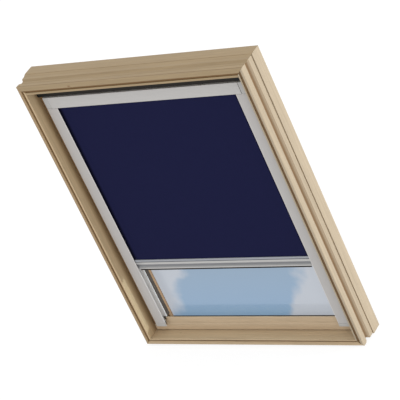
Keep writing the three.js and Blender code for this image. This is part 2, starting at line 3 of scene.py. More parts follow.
import bpy
import numpy as np
from mathutils import Matrix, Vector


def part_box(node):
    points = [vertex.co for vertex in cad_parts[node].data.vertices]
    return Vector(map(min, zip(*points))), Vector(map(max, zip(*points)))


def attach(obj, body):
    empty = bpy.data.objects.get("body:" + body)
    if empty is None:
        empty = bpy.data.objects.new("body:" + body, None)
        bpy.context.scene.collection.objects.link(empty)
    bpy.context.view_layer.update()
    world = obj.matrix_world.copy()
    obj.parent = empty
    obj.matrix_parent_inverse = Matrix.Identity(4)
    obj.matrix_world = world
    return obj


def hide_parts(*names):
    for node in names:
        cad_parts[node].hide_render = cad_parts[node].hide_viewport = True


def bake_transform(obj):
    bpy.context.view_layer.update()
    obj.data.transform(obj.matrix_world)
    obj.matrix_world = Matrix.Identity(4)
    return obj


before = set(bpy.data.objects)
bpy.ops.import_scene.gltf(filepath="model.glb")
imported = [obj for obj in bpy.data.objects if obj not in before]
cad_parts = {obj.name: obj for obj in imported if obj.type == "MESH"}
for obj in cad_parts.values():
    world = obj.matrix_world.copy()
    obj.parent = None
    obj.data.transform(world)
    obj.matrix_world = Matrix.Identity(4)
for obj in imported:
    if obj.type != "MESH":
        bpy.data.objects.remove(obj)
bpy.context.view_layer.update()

print("frame loaded:", len(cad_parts), "solids")

mm = 0.001
roomFace = -0.054  # y of the frame's room face; a depth is counted from it towards the roof

# the photograph's viewpoint: the camera's place in metres, its three axes and its lens
view = {
    "place": (3.2956, -3.8034, 3.3318),
    "right": (0.82118, 0.43168, -0.37324),
    "up": (0.03503, 0.61468, 0.788),
    "back": (0.56959, -0.66016, 0.48964),
    "lens": 180.94,
}
cameraData = bpy.data.cameras.new("camera")
cameraData.lens = view["lens"]
cameraData.sensor_width = 36
cameraData.clip_start, cameraData.clip_end = 0.1, 60
camera = bpy.data.objects.new("camera", cameraData)
columns = np.column_stack([view["right"], view["up"], view["back"]])
placed = np.eye(4)
placed[:3, :3] = columns
placed[:3, 3] = view["place"]
camera.matrix_world = Matrix(placed.tolist())
bpy.context.scene.collection.objects.link(camera)
bpy.context.scene.camera = camera

# even light from all round; a soft low sun behind the right side, which also comes in through the
# glass and falls on the left member's inner face; and a wide soft fill from the room's right
light = {
    "ambient": 0.95,
    "sun": {"from": (0.962, 0.231, 0.145), "strength": 1.85, "softness": 2.5},
    "fill": {"from": (0.7, -0.7, 0.1), "strength": 0.6, "softness": 25},
}


def addSun(name, settings):
    # a sun lamp whose own -Z points away from where its light comes from
    data = bpy.data.lights.new(name, "SUN")
    data.energy = settings["strength"]
    data.angle = radians(settings["softness"])
    lamp = bpy.data.objects.new(name, data)
    toLight = np.array(settings["from"], float)
    toLight /= np.linalg.norm(toLight)
    side = np.cross([0, 0, 1], toLight)
    side /= np.linalg.norm(side)
    turned = np.eye(4)
    turned[:3, 0], turned[:3, 1], turned[:3, 2] = side, np.cross(toLight, side), toLight
    lamp.matrix_world = Matrix(turned.tolist())
    bpy.context.scene.collection.objects.link(lamp)


addSun("sun", light["sun"])
addSun("fill", light["fill"])

bpy.context.scene.view_settings.view_transform = "Standard"


def linear(hexColour):
    # sRGB hex to linear red, green, blue and 1
    channels = np.array([int(hexColour[i:i + 2], 16) / 255 for i in (1, 3, 5)])
    low = channels / 12.92
    high = ((channels + 0.055) / 1.055) ** 2.4
    return (*np.where(channels <= 0.04045, low, high).tolist(), 1.0)


def addNode(tree, kind, inputs=None, stops=None, **settings):
    # adds a node with its settings, input values or links, and a ramp's stops
    node = tree.nodes.new("ShaderNode" + kind)
    for key, value in settings.items():
        setattr(node, key, value)
    for key, value in (inputs or {}).items():
        if isinstance(value, bpy.types.NodeSocket):
            tree.links.new(value, node.inputs[key])
        else:
            node.inputs[key].default_value = value
    if stops:
        ramp = node.color_ramp.elements
        while len(ramp) < len(stops):
            ramp.new(1.0)
        for element, (place, colour) in zip(ramp, stops):
            element.position = place
            element.color = linear(colour)
    return node


def newMaterial(name):
    material = bpy.data.materials.new(name)
    material.use_nodes = True
    material.node_tree.nodes.clear()
    return material, material.node_tree


def closeMaterial(tree, shader):
    addNode(tree, "OutputMaterial", {"Surface": shader})


def makePine(name, grainAxis, shift, tone, groove="#6B4A1E", knot="#7A5838", darkFront=None):
    # Lacquered pine, planed along its length: straight pale grain, few small knots, a satin coat,
    # and painted shade in a browner tone where the surface is recessed; darkFront is the depth in
    # metres up to which a face edge gets that painted shade too
    material, tree = newMaterial(name)
    coordinates = addNode(tree, "TexCoord").outputs["Object"]
    along = {"X": (0.03, 1, 1), "Z": (1, 1, 0.03)}[grainAxis]
    stretched = addNode(tree, "Mapping", {
        "Vector": coordinates, "Location": shift, "Scale": along,
    }).outputs["Vector"]
    # boards' own light and dark bands, 60 mm wide
    broad = addNode(tree, "TexNoise", {
        "Vector": stretched, "Scale": 17.0, "Detail": 2.0, "Roughness": 0.5,
    }).outputs["Fac"]
    # growth lines 5 mm apart, as coarse as they must be to show in the picture
    lines = addNode(tree, "TexNoise", {
        "Vector": stretched, "Scale": 190.0, "Detail": 3.0, "Roughness": 0.6, "Distortion": 0.4,
    }).outputs["Fac"]
    # fibres 1 mm wide
    fibres = addNode(tree, "TexNoise", {
        "Vector": stretched, "Scale": 900.0, "Detail": 2.0, "Roughness": 0.6,
    }).outputs["Fac"]
    broadShade = addNode(tree, "MapRange", {
        "Value": broad, "From Min": 0.3, "From Max": 0.7, "To Min": 0.95, "To Max": 1.05,
    }).outputs["Result"]
    lineShade = addNode(tree, "MapRange", {
        "Value": lines, "From Min": 0.25, "From Max": 0.75, "To Min": 0.88, "To Max": 1.1,
    }).outputs["Result"]
    fibreShade = addNode(tree, "MapRange", {
        "Value": fibres, "From Min": 0.3, "From Max": 0.7, "To Min": 0.95, "To Max": 1.05,
    }).outputs["Result"]
    coarse = addNode(tree, "Math", {0: broadShade, 1: lineShade}, operation="MULTIPLY").outputs[0]
    shade = addNode(tree, "Math", {0: coarse, 1: fibreShade}, operation="MULTIPLY").outputs[0]
    grain = addNode(tree, "VectorMath", {0: linear(tone)[:3], "Scale": shade}, operation="SCALE")
    # knots about 5 mm across, a hand's width or two apart
    spots = addNode(tree, "Mapping", {
        "Vector": coordinates, "Location": shift,
        "Scale": {"X": (0.5, 1, 1), "Z": (1, 1, 0.5)}[grainAxis],
    }).outputs["Vector"]
    cells = addNode(tree, "TexVoronoi", {"Vector": spots, "Scale": 11.0, "Randomness": 1.0})
    knotShare = addNode(tree, "MapRange", {
        "Value": cells.outputs["Distance"], "From Min": 0.015, "From Max": 0.04,
        "To Min": 0.75, "To Max": 0.0,
    }).outputs["Result"]
    knotted = addNode(tree, "MixRGB", {
        "Fac": knotShare, "Color1": grain.outputs[0], "Color2": linear(knot),
    }).outputs["Color"]
    # painted shade: the mesh's value mixes the wood towards the browner groove tone
    paintedLightAndShade = addNode(tree, "Attribute", attribute_name="paintedLightAndShade").outputs["Fac"]
    # painted shade on a face edge, from the room side back to darkFront
    if darkFront is not None:
        depth = addNode(tree, "SeparateXYZ", {"Vector": coordinates}).outputs["Y"]
        paintedLightAndShade = addNode(tree, "MapRange", {
            "Value": depth, "From Min": darkFront, "From Max": darkFront + 0.002,
            "To Min": 0.7, "To Max": 0.0,
        }).outputs["Result"]
    shadedColour = addNode(tree, "MixRGB", {
        "Fac": paintedLightAndShade, "Color1": knotted, "Color2": linear(groove),
    }).outputs["Color"]
    bump = addNode(tree, "Bump", {"Height": lines, "Strength": 0.08, "Distance": 0.0005})
    wood = addNode(tree, "BsdfPrincipled", {
        "Base Color": shadedColour, "Roughness": 0.5, "IOR": 1.5, "Normal": bump.outputs["Normal"],
        "Specular IOR Level": 0.35,
    })
    closeMaterial(tree, wood.outputs[0])
    return material


def makeMetal(name, colour, roughness, metallic, grain, streak=(1, 1, 1), paintedLightShadeColour=None):
    # Sheet or extruded metal: faint drawn lines along it and a soft satin gloss; where the mesh
    # carries a painted light-and-shade value the colour moves towards a second, painted tone
    material, tree = newMaterial(name)
    coordinates = addNode(tree, "TexCoord").outputs["Object"]
    drawn = addNode(tree, "Mapping", {"Vector": coordinates, "Scale": streak}).outputs["Vector"]
    # die lines 1 mm apart
    lines = addNode(tree, "TexNoise", {
        "Vector": drawn, "Scale": 900.0, "Detail": 2.0, "Roughness": 0.5,
    }).outputs["Fac"]
    shade = addNode(tree, "MapRange", {
        "Value": lines, "From Min": 0.3, "From Max": 0.7, "To Min": 1 - grain, "To Max": 1 + grain,
    }).outputs["Result"]
    # painted light and shade: the second tone is darker in the bar's grip and lighter in the rails'
    # slots
    paintedLightAndShade = addNode(tree, "Attribute", attribute_name="paintedLightAndShade").outputs["Fac"]
    base = addNode(tree, "MixRGB", {
        "Fac": paintedLightAndShade, "Color1": linear(colour), "Color2": linear(paintedLightShadeColour or colour),
    }).outputs["Color"]
    tinted = addNode(tree, "VectorMath", {0: base, "Scale": shade}, operation="SCALE")
    rough = addNode(tree, "MapRange", {
        "Value": lines, "To Min": roughness - 0.05, "To Max": roughness + 0.05,
    }).outputs["Result"]
    bump = addNode(tree, "Bump", {"Height": lines, "Strength": 0.05, "Distance": 0.0002})
    metal = addNode(tree, "BsdfPrincipled", {
        "Base Color": tinted.outputs[0], "Metallic": metallic, "Roughness": rough,
        "Normal": bump.outputs["Normal"],
    })
    closeMaterial(tree, metal.outputs[0])
    return material


def makePlastic(name, colour, roughness, ior=1.5, graining=0.3, gloss=0.5):
    # Moulded plastic or rubber: one colour with a fine spark-eroded grain
    material, tree = newMaterial(name)
    coordinates = addNode(tree, "TexCoord").outputs["Object"]
    # grain 0.8 mm across
    grain = addNode(tree, "TexNoise", {
        "Vector": coordinates, "Scale": 1200.0, "Detail": 2.0, "Roughness": 0.6,
    }).outputs["Fac"]
    shade = addNode(tree, "MapRange", {
        "Value": grain, "To Min": 0.92, "To Max": 1.08,
    }).outputs["Result"]
    tinted = addNode(tree, "VectorMath", {0: linear(colour)[:3], "Scale": shade}, operation="SCALE")
    bump = addNode(tree, "Bump", {"Height": grain, "Strength": graining, "Distance": 0.0001})
    plastic = addNode(tree, "BsdfPrincipled", {
        "Base Color": tinted.outputs[0], "Roughness": roughness, "IOR": ior,
        "Specular IOR Level": gloss, "Normal": bump.outputs["Normal"],
    })
    closeMaterial(tree, plastic.outputs[0])
    return material


def makeCloth(name, colour, thread):
    # Woven blackout polyester: a plain weave, dull and nearly without gloss
    material, tree = newMaterial(name)
    coordinates = addNode(tree, "TexCoord").outputs["Object"]
    parts = addNode(tree, "SeparateXYZ", {"Vector": coordinates}).outputs
    # weave = sin(turns * x) * sin(turns * z), one thread to a whole turn
    turns = 2 * pi / thread
    across = addNode(tree, "Math", {0: parts["X"], 1: turns}, operation="MULTIPLY").outputs[0]
    down = addNode(tree, "Math", {0: parts["Z"], 1: turns}, operation="MULTIPLY").outputs[0]
    warp = addNode(tree, "Math", {0: across}, operation="SINE").outputs[0]
    weft = addNode(tree, "Math", {0: down}, operation="SINE").outputs[0]
    weave = addNode(tree, "Math", {0: warp, 1: weft}, operation="MULTIPLY").outputs[0]
    # slubs: threads that are a little thicker here and there
    slubs = addNode(tree, "TexNoise", {
        "Vector": coordinates, "Scale": 260.0, "Detail": 3.0, "Roughness": 0.6,
    }).outputs["Fac"]
    threads = addNode(tree, "Math", {0: weave, 1: 0.04}, operation="MULTIPLY").outputs[0]
    slubShade = addNode(tree, "MapRange", {
        "Value": slubs, "To Min": 0.9, "To Max": 1.1,
    }).outputs["Result"]
    shade = addNode(tree, "Math", {0: threads, 1: slubShade}, operation="ADD").outputs[0]
    # painted shade: the cloth darkens towards its side edges, beside the rails
    fromMiddle = addNode(tree, "Math", {0: parts["X"]}, operation="ABSOLUTE").outputs[0]
    edgeShade = addNode(tree, "MapRange", {
        "Value": fromMiddle, "From Min": 0.296, "From Max": 0.304, "To Min": 1.0, "To Max": 0.35,
    }).outputs["Result"]
    shade = addNode(tree, "Math", {0: shade, 1: edgeShade}, operation="MULTIPLY").outputs[0]
    tinted = addNode(tree, "VectorMath", {0: linear(colour)[:3], "Scale": shade}, operation="SCALE")
    bump = addNode(tree, "Bump", {"Height": weave, "Strength": 0.15, "Distance": 0.0002})
    cloth = addNode(tree, "BsdfPrincipled", {
        "Base Color": tinted.outputs[0], "Roughness": 0.9, "IOR": 1.45,
        "Specular IOR Level": 0.08, "Normal": bump.outputs["Normal"],
    })
    closeMaterial(tree, cloth.outputs[0])
    return material


def makeSkyGlass(name):
    # Float glass with a painted reflection of the sky: pale blue, deeper towards the bottom, with a
    # soft cloud at each side, under a sharp gloss; light for other pieces passes through it
    material, tree = newMaterial(name)
    coordinates = addNode(tree, "TexCoord").outputs["Object"]
    parts = addNode(tree, "SeparateXYZ", {"Vector": coordinates}).outputs
    height = addNode(tree, "MapRange", {
        "Value": parts["Z"], "From Min": 0.05, "From Max": 0.26, "To Min": 0.0, "To Max": 1.0,
    }).outputs["Result"]
    blue = addNode(tree, "ValToRGB", {"Fac": height}, [
        (0.0, "#7693AD"), (0.3, "#8098B1"), (1.0, "#8397AB"),
    ]).outputs["Color"]
    # clouds lie towards both sides: how far a point is from a line that leans to the right
    lean = addNode(tree, "MapRange", {
        "Value": parts["Z"], "From Min": 0.063, "From Max": 0.232,
        "To Min": 0.0885, "To Max": -0.0215,
    }).outputs["Result"]
    offCentre = addNode(tree, "Math", {0: parts["X"], 1: lean}, operation="ADD").outputs[0]
    distance = addNode(tree, "Math", {0: offCentre}, operation="ABSOLUTE").outputs[0]
    lump = addNode(tree, "TexNoise", {
        "Vector": coordinates, "Scale": 11.0, "Detail": 3.0, "Roughness": 0.5,
    }).outputs["Fac"]
    edgeShift = addNode(tree, "MapRange", {
        "Value": lump, "From Min": 0.3, "From Max": 0.7, "To Min": -0.025, "To Max": 0.025,
    }).outputs["Result"]
    ragged = addNode(tree, "Math", {0: distance, 1: edgeShift}, operation="ADD").outputs[0]
    cloud = addNode(tree, "MapRange", {
        "Value": ragged, "From Min": 0.18, "From Max": 0.23, "To Min": 0.0, "To Max": 0.85,
    }, interpolation_type="SMOOTHSTEP").outputs["Result"]
    colour = addNode(tree, "MixRGB", {
        "Fac": cloud, "Color1": blue, "Color2": linear("#B0B3B9"),
    }).outputs["Color"]
    # most of it glows as painted sky light, so that shade inside the window hardly dims it
    dim = addNode(tree, "VectorMath", {0: colour, "Scale": 0.35}, operation="SCALE").outputs[0]
    sky = addNode(tree, "BsdfPrincipled", {
        "Base Color": dim, "Roughness": 0.08, "IOR": 1.5,
        "Emission Color": colour, "Emission Strength": 0.85,
    })
    clear = addNode(tree, "BsdfTransparent", {"Color": linear("#F4F8FA")})
    rays = addNode(tree, "LightPath").outputs
    passing = addNode(tree, "Math", {0: rays["Is Shadow Ray"], 1: rays["Is Diffuse Ray"]},
                      operation="MAXIMUM").outputs[0]
    glass = addNode(tree, "MixShader", {0: passing, 1: sky.outputs[0], 2: clear.outputs[0]})
    closeMaterial(tree, glass.outputs[0])
    return material


# drawn lines are stretched along a piece's length
alongWidth, alongHeight = (0.03, 1, 1), (1, 1, 0.03)

# the members' pine tones differ as painted light and shade: each is set lighter or darker to stand
# for how light falls on that member
pineBottom = makePine("lacqueredPineBottom", "X", (0.3, 0.1, 0.2), "#C4AD8C")
pineTop = makePine("lacqueredPineTop", "X", (0.9, 0.5, 0.7), "#9E8969")
pineLeft = makePine("lacqueredPineLeft", "Z", (0.4, 0.8, 0.1), "#BBA482")
pineRight = makePine("lacqueredPineRight", "Z", (0.7, 0.3, 0.9), "#A99A83")
pineSashRail = makePine("lacqueredPineSashRail", "X", (0.15, 0.6, 0.45), "#BDA78A")
# painted shade on the stiles' room faces, up to darkFront
pineSashStile = makePine("lacqueredPineSashStile", "Z", (0.55, 0.2, 0.35), "#9B7A5A",
                         darkFront=roomFace + 0.0455)
lightAluminium = makeMetal("satinPaintedAluminium", "#B5B3B1", 0.42, 0.0, 0.03, alongWidth)
# painted shade: the bar's darker second tone darkens its grip, the ledge behind its strip and its
# left end
barAluminium = makeMetal("satinAnodisedAluminium", "#B5B4B2", 0.42, 0.0, 0.03, alongWidth,
                         paintedLightShadeColour="#76777A")
clampAluminium = makeMetal("satinClampAluminium", "#95989E", 0.42, 0.0, 0.03, alongWidth)
# painted light: the rail's lighter second tone brightens the inside of its slot
railAluminium = makeMetal("satinPaintedAluminiumRail", "#B2AFAD", 0.4, 0.0, 0.03, alongHeight,
                          paintedLightShadeColour="#D8D4D1")
coverSheet = makeMetal("lacqueredAluminiumSheet", "#6B7074", 0.5, 0.4, 0.03)
zincSteel = makeMetal("zincPlatedSteel", "#A9ABAD", 0.35, 1.0, 0.05)
darkBar = makePlastic("darkLacqueredAluminium", "#1A1610", 0.55, gloss=0.2)
greyPlastic = makePlastic("mouldedGreyPlastic", "#AFAEAC", 0.45)
blackPlastic = makePlastic("mouldedBlackPlastic", "#141413", 0.6, gloss=0.2)
rubber = makePlastic("extrudedRubber", "#2A2622", 0.8, 1.52, gloss=0.2)
ribbedRubber = makePlastic("brushedSealRubber", "#4A4139", 0.85, 1.52)
blackoutCloth = makeCloth("wovenBlackoutPolyester", "#191B3B", 1.2 * mm)
skyGlass = makeSkyGlass("glassWithPaintedSky")
print("materials made")


def easedOutline(points, radii, steps=5, values=None):
    # each corner p gives way to the curve (1-t)^2 a + 2t(1-t) p + t^2 b, with a and b one radius
    # away from p along its two sides; a corner takes at most 0.45 of a side; its value holds all
    # along its curve
    points = np.array(points, float)
    towards = np.roll(points, 1, axis=0) - points
    onward = np.roll(points, -1, axis=0) - points
    lengthBack = np.linalg.norm(towards, axis=1, keepdims=True)
    lengthOn = np.linalg.norm(onward, axis=1, keepdims=True)
    radius = np.broadcast_to(np.array(radii, float), len(points))[:, None]
    radius = np.minimum(radius, 0.45 * np.minimum(lengthBack, lengthOn))
    start = points + towards / lengthBack * radius
    end = points + onward / lengthOn * radius
    t = np.linspace(0, 1, steps)[None, :, None]
    curve = (1 - t) ** 2 * start[:, None] + 2 * t * (1 - t) * points[:, None]
    curve = curve + t ** 2 * end[:, None]
    curve = curve.reshape(-1, 2)
    kept = np.linalg.norm(curve - np.roll(curve, 1, axis=0), axis=1) > 1e-4
    return curve[kept] if values is None else (curve[kept], np.repeat(values, steps)[kept])


def sweptFaces(ringCount, ringSize):
    # quads between rings that follow each other, and one face over each end
    i, j = np.meshgrid(np.arange(ringCount - 1), np.arange(ringSize), indexing="ij")
    here, there = i * ringSize, (i + 1) * ringSize
    after = (j + 1) % ringSize
    quads = np.stack([here + j, here + after, there + after, there + j], axis=-1).reshape(-1, 4)
    first = np.arange(ringSize)[::-1].tolist()
    last = ((ringCount - 1) * ringSize + np.arange(ringSize)).tolist()
    return quads, [first, last]


def addMesh(name, vertices, quads, ends, body, material, stands=(), paintedLightAndShade=None, sharpAngle=32):
    # a piece from its vertices in metres; six times its volume is the sum of a . (b x c) over its
    # triangles, and its faces are turned round where that is negative
    corners = vertices[quads]
    a, b, c, d = (corners[:, k] for k in range(4))
    volume = np.einsum("ij,ij->", a, np.cross(b, c)) + np.einsum("ij,ij->", a, np.cross(c, d))
    for end in ends:
        ring = vertices[np.array(end)]
        volume += (np.cross(ring[1:-1], ring[2:]) @ ring[0]).sum()
    faces = quads.tolist() + ends
    if volume < 0:
        faces = [face[::-1] for face in faces]
    mesh = bpy.data.meshes.new(name)
    mesh.from_pydata(vertices.tolist(), [], faces)
    mesh.polygons.foreach_set("use_smooth", np.ones(len(faces), bool))
    mesh.set_sharp_from_angle(angle=radians(sharpAngle))
    # the painted light and shade, one value for each point
    if paintedLightAndShade is not None:
        mesh.attributes.new("paintedLightAndShade", "FLOAT", "POINT").data.foreach_set("value", paintedLightAndShade)
    mesh.update()
    piece = bpy.data.objects.new(name, mesh)
    bpy.context.scene.collection.objects.link(piece)
    mesh.materials.append(material)
    if body:
        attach(piece, body)
    if stands:
        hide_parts(*stands)
    return piece


def addSwept(name, rings, body, material, stands=(), paintedLightAndShade=None):
    # a closed bar through rings of shape (rings, points, 3), in millimetres; the painted light or
    # shade is one value from 0 to 1 for each point of a ring, or for each point of all the rings
    rings = np.array(rings, float)
    quads, ends = sweptFaces(len(rings), rings.shape[1])
    if paintedLightAndShade is not None and len(paintedLightAndShade) == rings.shape[1]:
        paintedLightAndShade = np.tile(paintedLightAndShade, len(rings))
    return addMesh(name, rings.reshape(-1, 3) * mm, quads, ends, body, material, stands, paintedLightAndShade)


def alongX(outline, x0, x1):
    # an outline of (depth, height) carried from x0 to x1
    depth, height = outline[:, 0], outline[:, 1]
    y = depth + roomFace / mm
    return [np.column_stack([np.full(len(y), x), y, height]) for x in (x0, x1)]


def alongZ(outline, z0, z1, side):
    # an outline of (x, depth), drawn for the right side, carried from z0 to z1
    x, y = side * outline[:, 0], outline[:, 1] + roomFace / mm
    return [np.column_stack([x, y, np.full(len(y), z)]) for z in (z0, z1)]


def boxOf(node):
    # lowest and highest corners of a solid, in millimetres
    low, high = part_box(node)
    return np.array(low) / mm, np.array(high) / mm


sides = (("left", -1), ("right", 1))


# painted shade in this table: the darker wood in groove, quirk and saw cut, on the beads of the
# left and bottom members, in the line on the top member's bead, and on the left member's inner face
# where the sash shades it
frameWood = {
    "width": 780, "height": 980, "wall": 26, "depth": 102, "gap": 0.15,
    "bead": {"side": 4.2, "end": 17.5, "back": (7, 25.2), "outerRound": 7.5, "innerRound": 5},
    "quirk": (14.5, 21.5, 5.5), "lipDepth": 1.5,
    "groove": (26.4, 33, 40.3, 10.5), "lowerFace": 3, "saw": (60.6, 61.8, 5.5), "grooveShade": 0.8,
    "top": {
        "quirk": (19, 26.1, 4.4), "innerRound": 3, "notch": (8.6, 22.4), "groove": 7.5,
        "shadeLine": (6.2, 5, 3.8, 1), "lowerFace": (2.8, 50), "saw": 0.8, "lip": (7, 20),
    },
    "bottom": {"quirk": (19.7, 23.4, 5), "beadShade": (0.1, 0.3)},
    "left": {"beadShade": (0.45, 0.45), "sashShade": ((23, 0), (33, 0.35), (40, 0.6))},
    "right": {"quirk": (13, 21.5, 5.5)},
}


def frameOutline(edge):
    # the moulding as corners (inset from the outer face, depth, radius, painted shade), where the
    # painted shade is 0 on the open faces and 0.8 in groove, quirk and saw cut; the top member has
    # shallower cuts, a thin line of painted shade on its bead, and a lip that hangs lower in front
    # of the sash; the left member has painted shade on its bead and where the sash shades its inner
    # face
    w, bead, own = frameWood, frameWood["bead"], frameWood.get(edge, {})
    start, end, slope, deep = w["groove"]
    sawStart, sawEnd, sawDeep = w["saw"]
    quirkOuter, quirkInner, quirkDepth = own.get("quirk", w["quirk"])
    outerBeadShade, beadShade = own.get("beadShade", (0, 0))
    wall, grooveShade, sashShade, drop = w["wall"], w["grooveShade"], 0, 0
    back, lowerFace = [(*bead["back"], 0.8, 0.3)], (w["lowerFace"], sawStart)
    shadeLine, inner = [], []
    if edge == "top":
        sawDeep, deep, lowerFace = own["saw"], own["groove"], own["lowerFace"]
        grooveShade, back = 0, [(*own["notch"], 0.3, 0)]
        lineStart, lineMiddle, lineEnd, lineDeep = own["shadeLine"]
        shadeLine = [(bead["side"], lineStart, 0, 0), (bead["side"] + lineDeep, lineMiddle, 0, 0.9),
                   (bead["side"], lineEnd, 0, 0)]
        drop, lipDepth = own["lip"]
        inner = [(wall + drop, lipDepth, 1.3, 0), (wall, lipDepth, 0.6, 0)]
    if edge == "left":
        inner = [(wall, depth, 0, value) for depth, value in own["sashShade"]]
        sashShade = inner[-1][3]
    # the last value of each corner is its painted shade, 0.3 of it behind the bead
    corners = np.array([
        (wall, w["depth"], 0.6, sashShade), (0, w["depth"], 1.4, 0), (0, sawEnd, 0.5, 0),
        (sawDeep, sawEnd, 0.2, grooveShade), (sawDeep, sawStart, 0.2, grooveShade), (*lowerFace, 0.5, 0),
        (lowerFace[0], slope + 1.6, 0, 0), (lowerFace[0], slope, 0.3, 0.6 * grooveShade),
        (lowerFace[0] + 1.2, slope - 1.2, 0, 0.15 * grooveShade),
        (deep, end, 0.8, grooveShade), (deep, start, 0.5, grooveShade),
        *back, (bead["side"], bead["end"], 3, outerBeadShade), *shadeLine,
        (bead["side"], 0, bead["outerRound"], outerBeadShade),
        (quirkOuter, 0, own.get("innerRound", bead["innerRound"]), beadShade),
        (quirkOuter, quirkDepth, 0.4, 0.8), (quirkInner, quirkDepth, 0.4, 0.8),
        (quirkInner, w["lipDepth"], 0.4, 0), (wall + drop, w["lipDepth"], 1.3, 0), *inner,
    ], float)
    return easedOutline(corners[:, :2], corners[:, 2], 7, corners[:, 3])


def memberRings(edge):
    # the moulding carried along one edge of the frame and mitred at 45 degrees at both ends
    w = frameWood
    outline, paintedLightAndShade = frameOutline(edge)
    inset, depth = outline.T
    y = depth + roomFace / mm
    half = w["width"] / 2
    reachX = half - np.minimum(inset, w["wall"]) - w["gap"]
    if edge in ("bottom", "top"):
        z = inset if edge == "bottom" else w["height"] - inset
        return [np.column_stack([sign * reachX, y, z]) for sign in (-1, 1)], paintedLightAndShade
    sign = -1 if edge == "left" else 1
    x = sign * (half - inset)
    low, high = inset + w["gap"], w["height"] - inset - w["gap"]
    return [np.column_stack([x, y, z]) for z in (low, high)], paintedLightAndShade


frameWoods = {"bottom": pineBottom, "top": pineTop, "left": pineLeft, "right": pineRight}
for edge, wood in frameWoods.items():
    rings, paintedLightAndShade = memberRings(edge)
    addSwept(f"frame_{edge}_moulding", rings, "frame", wood, [f"frame_{edge}_member"], paintedLightAndShade)
print("frame made")


sashWood = {
    "face": 44, "back": 96, "ease": 1.6, "smallEase": 0.6, "skirt": (1.3, 8),
    "rebate": 75, "rebateLow": 38, "rebateHigh": 925.5,
    "lipFront": 46.8, "lipBack": 50.5, "lipFoot": 60.3, "lipTop": 76,
    "lipHalf": 307.2, "notch": (315.2, 66.5),
}


def addSashPieces():
    # rails as corners (depth, height, radius), softly rounded on the room side; a raised lip runs
    # along the bottom rail between the blind's rails, and its back slopes down to the pane; a
    # shallow skirt narrows the gap below
    s = sashWood
    face, back, rebate = s["face"], s["back"], s["rebate"]
    skirtDrop, skirtDepth = s["skirt"]
    low, high = boxOf("sash_bottom_rail")
    rail = np.array([
        (face, low[2] - skirtDrop, s["ease"]), (face + skirtDepth, low[2] - skirtDrop, 0.4),
        (face + skirtDepth, low[2], 0.4), (back, low[2], 0.6), (back, s["rebateLow"], 0.4),
        (rebate, s["rebateLow"], 0.4), (rebate, high[2], 0.4), (s["lipFoot"], high[2], 0.6),
        (s["lipBack"], s["lipTop"], 1.2), (s["lipFront"] + 0.4, s["lipTop"], 1),
        (s["lipFront"], high[2] + 1.5, 0.5), (face, high[2] - 1.2, 0.5),
    ])
    rail = easedOutline(rail[:, :2], rail[:, 2])
    # the lip steps down twice at each end: to a notch that holds the buffer, and to the rail's top
    half = s["lipHalf"]
    notchEnd, notchTop = s["notch"]
    flat = np.column_stack([rail[:, 0], np.minimum(rail[:, 1], high[2])])
    notched = np.column_stack([rail[:, 0], np.minimum(rail[:, 1], notchTop)])
    rings = [
        *alongX(flat, low[0], -notchEnd), *alongX(notched, 0.4 - notchEnd, -half),
        *alongX(rail, 0.4 - half, half - 0.4), *alongX(notched, half, notchEnd - 0.4),
        *alongX(flat, notchEnd, high[0]),
    ]
    addSwept("sash_bottom_rail_wood", rings, "sash", pineSashRail, ["sash_bottom_rail"])
    low, high = boxOf("sash_top_rail")
    rail = [
        (face, low[2]), (rebate, low[2]), (rebate, s["rebateHigh"]), (back, s["rebateHigh"]),
        (back, high[2]), (face, high[2]),
    ]
    radii = [s["ease"], s["smallEase"], 0.4, 0.4, 0.6, s["ease"]]
    addSwept("sash_top_rail_wood", alongX(easedOutline(rail, radii), low[0], high[0]), "sash",
             pineSashRail, ["sash_top_rail"])


gasket = {
    "outer": 312, "inner": 301.9, "low": 41, "lowInner": 57.5, "highInner": 918, "high": 922,
    "span": (75.15, 75.85),
}


def addGasket():
    # a flat rubber frame between stiles and pane: its section goes once round, with one ring of
    # four points at each mitred corner; it is wider below, where its dark rubber shows above the
    # rail's lip and partly stands for the shade behind it as painted shade
    g = gasket
    near, far = (depth + roomFace / mm for depth in g["span"])
    corners = [
        (side * g["outer"], g[outerHeight], side * g["inner"], g[innerHeight])
        for side, outerHeight, innerHeight in (
            (-1, "low", "lowInner"), (1, "low", "lowInner"),
            (1, "high", "highInner"), (-1, "high", "highInner"))
    ]
    rings = np.array([
        [(x0, near, z0), (x1, near, z1), (x1, far, z1), (x0, far, z0)] for x0, z0, x1, z1 in corners
    ])
    i, j = np.meshgrid(np.arange(4), np.arange(4), indexing="ij")
    after, beside = (i + 1) % 4, (j + 1) % 4
    here, there = i * 4, after * 4
    quads = np.stack([here + j, here + beside, there + beside, there + j], axis=-1).reshape(-1, 4)
    addMesh("glazing_gasket_frame", rings.reshape(-1, 3) * mm, quads, [], "sash", ribbedRubber,
            ["glazing_gasket"])


hingeScrews = {
    "points": 24, "y": 16, "heights": (440, 470, 510, 540),
    "domes": ((3.6, 0), (3.4, 0.5), (2.4, 1), (0.9, 0.75)),
    "frame_hinge_plate": ("frame", 362.65, -0.7), "sash_hinge_plate": ("sash", 361.35, 0.5),
}


def addHingeScrews():
    # countersunk heads on both hinge plates: rings of (radius, share of the head's rise), each ring
    # radius * (cos, sin) about the X axis
    h = hingeScrews
    angle = np.linspace(0, 2 * pi, h["points"], endpoint=False)
    around = np.column_stack([np.cos(angle), np.sin(angle)])
    for plate in ("frame_hinge_plate", "sash_hinge_plate"):
        body, start, rise = h[plate]
        for name, side in sides:
            for spot, height in enumerate(h["heights"]):
                rings = [
                    np.column_stack([
                        np.full(h["points"], side * (start + rise * share)),
                        h["y"] + radius * around[:, 0], height + radius * around[:, 1],
                    ]) for radius, share in h["domes"]
                ]
                addSwept(f"{plate}_screw_{name}_{spot + 1}", rings, body, zincSteel)


addSashPieces()
addGasket()
addHingeScrews()
print("sash made")


cassette = {
    "face": 33, "sheet": 1.6, "return": 37.3, "back": 67, "seam": 0.8, "capRound": 1.6,
    "capEase": 0.9,
}


